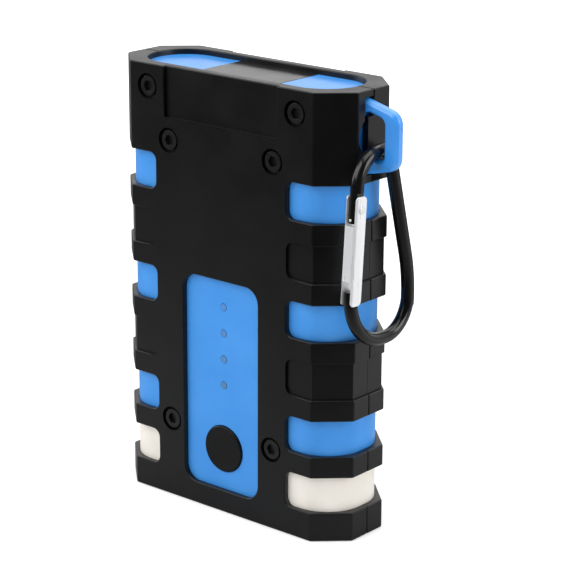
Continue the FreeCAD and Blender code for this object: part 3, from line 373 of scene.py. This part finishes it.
def at_badge(point):
    """Whether a point is round the shallow badge, below the top."""
    return abs(point.x) < BADGE_SIDE and BADGE_FOOT < point.z < ARMOUR_TOP - TOUCH


def outer_edge(edge):
    """Whether an armour edge is outside, and not at the seam, the loop's recess or the badge."""
    ends = [vertex.co for vertex in edge.verts]
    if any(all(test(point) for point in ends) for test in (at_seam, in_recess, at_badge)):
        return False
    at_top = all(point.z > ARMOUR_TOP - TOUCH for point in ends)
    at_foot = all(point.z < TOUCH for point in ends)
    return at_top or at_foot or all(on_outline(point) for point in ends)


# The pieces

BUTTON_FACE = -16 * MM
PLATE_EDGE = 12.9 * MM
PLATE_UNDER = 162.7 * MM
PLATE_LIP = 0.6 * MM
PLATE_RISE = 0.05 * MM


def on_button_face(edge):
    return edge.verts[0].co.y < BUTTON_FACE


for node in ("front_armour", "back_armour"):
    rounded_copy(node, 0.5 * MM, segments=3, wanted=outer_edge, least_run=SCREW_WELL)
rounded_copy("control_panel", 0.4 * MM)
rounded_copy("top_cap", 0.2 * MM)
rounded_copy("bottom_panel", 0.3 * MM)
plate = rounded_copy("cap_plate", 0.15 * MM)
rounded_copy("output_socket", 0.2 * MM)
rounded_copy("armour_screws", 0.25 * MM)
rounded_copy("lanyard_loop", 0.25 * MM, segments=3)
rounded_copy("power_button", 0.5 * MM, "button", segments=3, wanted=on_button_face)
rounded_copy("carabiner_gate", 0.12 * MM, "gate")
rounded_copy("gate_rivet", 0.25 * MM, "gate", segments=3)

# The plate's upper edge reaches the armour
for vertex in plate.data.vertices:
    if abs(vertex.co.y) > PLATE_EDGE and vertex.co.z > PLATE_UNDER:
        vertex.co += Vector((0, math.copysign(PLATE_LIP, vertex.co.y), PLATE_RISE))

PIN_PLACE = (58.5 * MM, -17.26 * MM, 122.6 * MM)
PIN_RADIUS = 0.55 * MM
PIN_HEIGHT = 0.22 * MM
PIN_SINK = 0.5 * MM
PIN_DOME = [(0, 1), (0.4, 0.92), (0.75, 0.6), (1, 0)]
PIN_STEPS = 24


def pin_head(name, finish, body):
    """A low domed head on the front of the bar's end, turned from its profile."""
    profile = [(across * PIN_RADIUS, out * PIN_HEIGHT) for across, out in PIN_DOME] + [(PIN_RADIUS, -PIN_SINK)]
    work = bmesh.new()
    corners = [work.verts.new((across, -out, 0)) for across, out in profile]
    lines = [work.edges.new(pair) for pair in zip(corners, corners[1:])]
    bmesh.ops.spin(work, geom=corners + lines, cent=(0, 0, 0), axis=(0, 1, 0), angle=math.tau, steps=PIN_STEPS)
    bmesh.ops.remove_doubles(work, verts=work.verts, dist=SAME_POINT)
    bmesh.ops.holes_fill(work, edges=[edge for edge in work.edges if edge.is_boundary])
    bmesh.ops.recalc_face_normals(work, faces=work.faces)
    bmesh.ops.translate(work, verts=work.verts, vec=PIN_PLACE)
    mesh = bpy.data.meshes.new(name)
    work.to_mesh(mesh)
    work.free()
    mesh.shade_smooth()
    add_piece(name, mesh, finish, body)


pin_head("tongue_pin", rivet_steel, "carabiner")


# Floor, light and camera

WHITE = (1.0, 1.0, 1.0, 1.0)
WORLD_FILL = 0.32
STUDIO_BACK = (-0.39, 0.92, 0.0)
STUDIO_LEFT = (-0.66, 0.75, 0.0)

# What gloss sees, from the dark front of the studio to its light back, and less again on the floor's left
SKY_CARD = (-0.1, 0.8), (0.03, 1.0)
FLOOR_CARD = (-0.228, 0.309), (0.03, 0.9)
LEFT_CARD = (0.06, 0.12), (1.0, 0.25)

# The colour sockets of a Mix node
MIX_A, MIX_B, MIX_RESULT = 6, 7, 2

FLOOR_REACH = 4.0
FLOOR_DROP = 0.2 * MM
FLOOR_TONES = (0.80, 0.80, 0.80, 1), (0.82, 0.82, 0.82, 1)
FLOOR_GLOW = (0.25, 1.2), (0.35, 1.0)

SENSOR_WIDTH = 36.0
FOCAL_LENGTH = 133.65
CAMERA_PLACE = (0.4991, -0.5706, 0.3173)
CAMERA_YAW = math.radians(40.18)
CAMERA_PITCH = math.radians(17.25)
CAMERA_ROLL = math.radians(0.30)
LIGHT_TARGET = Vector((0, 0, 0.08))


def world_light():
    """White where the camera looks at it, dimmer in front for gloss, and an even fill for the rest."""
    scene.world = bpy.data.worlds.new("studio")
    scene.world.use_nodes = True
    sky = Tree(scene.world.node_tree)
    sky.tree.nodes.clear()
    ray = sky.add("ShaderNodeLightPath").outputs
    place = sky.add("ShaderNodeTexCoord").outputs["Generated"]
    shine = sky.maths("MAXIMUM", ray["Is Glossy Ray"], ray["Is Transmission Ray"])
    seen = sky.maths("MAXIMUM", ray["Is Camera Ray"], shine)
    bright = sky.maths("MAXIMUM", ray["Is Camera Ray"], sky.graded(place, STUDIO_BACK, *SKY_CARD))
    fill = sky.add("ShaderNodeBackground", [("Color", WHITE), ("Strength", WORLD_FILL)])
    shown = sky.add("ShaderNodeBackground", [("Color", WHITE), ("Strength", bright)])
    chosen = sky.add("ShaderNodeMixShader", [(0, seen), (1, fill.outputs[0]), (2, shown.outputs[0])])
    sky.add("ShaderNodeOutputWorld", [("Surface", chosen.outputs[0])])


def floor_finish():
    """A pale matt floor that gloss sees as cards. It turns white far away, and is clear from below."""
    finish = Finish("floor_white", 0.9, specular=0.1)
    ray = finish.add("ShaderNodeLightPath").outputs
    pale = finish.two_tones(finish.noise(0.3), *FLOOR_TONES)
    card = finish.maths("MULTIPLY", finish.graded(finish.place, STUDIO_BACK, *FLOOR_CARD),
                        finish.graded(finish.place, STUDIO_LEFT, *LEFT_CARD))
    colour = finish.add("ShaderNodeMix", [("Factor", ray["Is Glossy Ray"]), (MIX_A, pale), (MIX_B, card)],
                        data_type="RGBA")
    finish.set("Base Color", colour.outputs[MIX_RESULT])
    away = finish.add("ShaderNodeVectorMath", [(0, finish.place)], operation="LENGTH").outputs["Value"]
    finish.set("Emission Color", WHITE)
    finish.set("Emission Strength", finish.maths(
        "MULTIPLY", ray["Is Camera Ray"], finish.spread(away, *FLOOR_GLOW)))
    below = finish.add("ShaderNodeNewGeometry").outputs["Backfacing"]
    clear = finish.add("ShaderNodeBsdfTransparent").outputs[0]
    sided = finish.add("ShaderNodeMixShader", [(0, below), (1, finish.shader.outputs[0]), (2, clear)])
    finish.feed(finish.tree.nodes["Material Output"].inputs["Surface"], sided.outputs[0])
    return finish


def studio_floor():
    mesh = bpy.data.meshes.new("floor")
    corners = [(x * FLOOR_REACH, y * FLOOR_REACH, 0) for x, y in ((-1, -1), (1, -1), (1, 1), (-1, 1))]
    mesh.from_pydata(corners, [], [(0, 1, 2, 3)])
    floor = bpy.data.objects.new("floor", mesh)
    floor.location.z = -FLOOR_DROP
    scene.collection.objects.link(floor)
    wear(floor, floor_finish())


def soft_light(name, place, size, power):
    lamp = bpy.data.lights.new(name, "AREA")
    lamp.size = size
    lamp.energy = power
    item = bpy.data.objects.new(name, lamp)
    item.location = place
    item.rotation_euler = (LIGHT_TARGET - item.location).to_track_quat("-Z", "Y").to_euler()
    scene.collection.objects.link(item)


def photo_camera():
    lens = bpy.data.cameras.new("photo_camera")
    lens.sensor_width = SENSOR_WIDTH
    lens.sensor_fit = "HORIZONTAL"
    lens.lens = FOCAL_LENGTH
    lens.clip_start = 10 * MM
    camera = bpy.data.objects.new("photo_camera", lens)
    turn = (Matrix.Rotation(CAMERA_YAW, 4, "Z") @ Matrix.Rotation(math.pi / 2 - CAMERA_PITCH, 4, "X")
            @ Matrix.Rotation(CAMERA_ROLL, 4, "Z"))
    camera.matrix_world = Matrix.Translation(CAMERA_PLACE) @ turn
    scene.collection.objects.link(camera)
    scene.camera = camera


scene.view_settings.view_transform = "Standard"
world_light()
studio_floor()
soft_light("key_light", (-0.4, -1.1, 1.15), size=1.2, power=13)
soft_light("top_light", (0.1, 0.3, 1.5), size=1.6, power=17)
soft_light("side_light", (1.5, 0.5, 0.7), size=1.0, power=12)
soft_light("left_light", (-1.3, -0.5, 0.7), size=1.0, power=8.5)
photo_camera()
